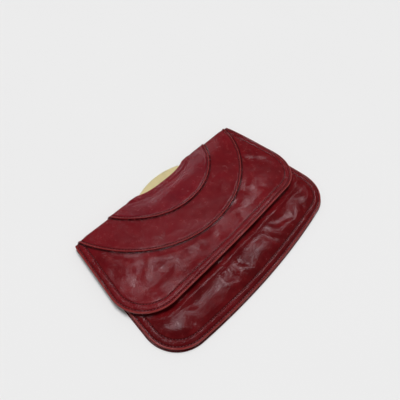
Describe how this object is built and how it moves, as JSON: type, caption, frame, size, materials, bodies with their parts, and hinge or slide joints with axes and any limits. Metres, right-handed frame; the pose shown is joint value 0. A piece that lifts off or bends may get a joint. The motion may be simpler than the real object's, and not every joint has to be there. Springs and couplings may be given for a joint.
{
  "type": "clutch purse",
  "caption": "Flat leather flap-over clutch purse with curved overlay panels, a finger scoop in the fold and an arched brass handle that pulls up through it.",
  "frame": {"origin": "on the back panel's resting face, on the centre line, midway between the bottom edge and the fold", "axes": "+X along the fold, +Y from the bottom edge to the fold, +Z out through the front, up as the purse lies on its back"},
  "size_m": [0.271, 0.1775, 0.0166],
  "materials": {
    "body_leather": "dark oxblood nappa leather, pebbled and softly glossy",
    "flap_leather": "deep red nappa leather, worn glossy",
    "overlay_leather": "deep red nappa leather, slightly paler, worn glossy",
    "lining": "woven brown-red lining cloth",
    "board": "grey-brown fibre board",
    "handle_brass": "pale brushed brass",
    "keeper_brass": "plain brass",
    "snap_metal": "brass-plated steel",
    "magnet": "dark ferrite"
  },
  "bodies": {
    "pouch": {"back_panel": "body_leather", "seam_gusset": "body_leather", "front_panel": "body_leather", "mouth_facing": "body_leather", "front_lining": "lining", "back_stiffener": "board", "back_lining": "lining", "slip_pocket": "lining", "handle_keeper_right": "keeper_brass", "handle_keeper_left": "keeper_brass", "keeper_rivets": "keeper_brass", "snap_socket_cap": "snap_metal", "snap_magnet": "magnet", "snap_socket_base": "snap_metal", "snap_socket_backing": "snap_metal"},
    "handle": {"handle_bar": "handle_brass"},
    "fold": {"fold_leather": "flap_leather", "fold_ring_panel": "overlay_leather", "fold_half_disc": "overlay_leather", "fold_lining": "lining"},
    "flap": {"flap_outer_panel": "flap_leather", "flap_ring_panel": "overlay_leather", "flap_half_disc": "overlay_leather", "flap_stiffener": "board", "flap_lining": "lining", "snap_stud": "snap_metal", "snap_stud_backing": "snap_metal"}
  },
  "joints": [
    {"name": "fold_lower_bend", "type": "hinge", "parent": "pouch", "child": "fold", "pos_m": [0, 0.0841, 0.0024], "axis": [-1, 0, 0], "range_deg": [0, 70]},
    {"name": "flap_open", "type": "hinge", "parent": "fold", "child": "flap", "pos_m": [0, 0.0841, 0.0096], "axis": [-1, 0, 0], "range_deg": [0, 70]},
    {"name": "handle_slide", "type": "slide", "parent": "pouch", "child": "handle", "axis": [0, 1, 0], "range_m": [0, 0.05]}
  ],
  "couplings": [
    {"joint": "fold_lower_bend", "follows": "flap_open", "ratio": 1}
  ]
}
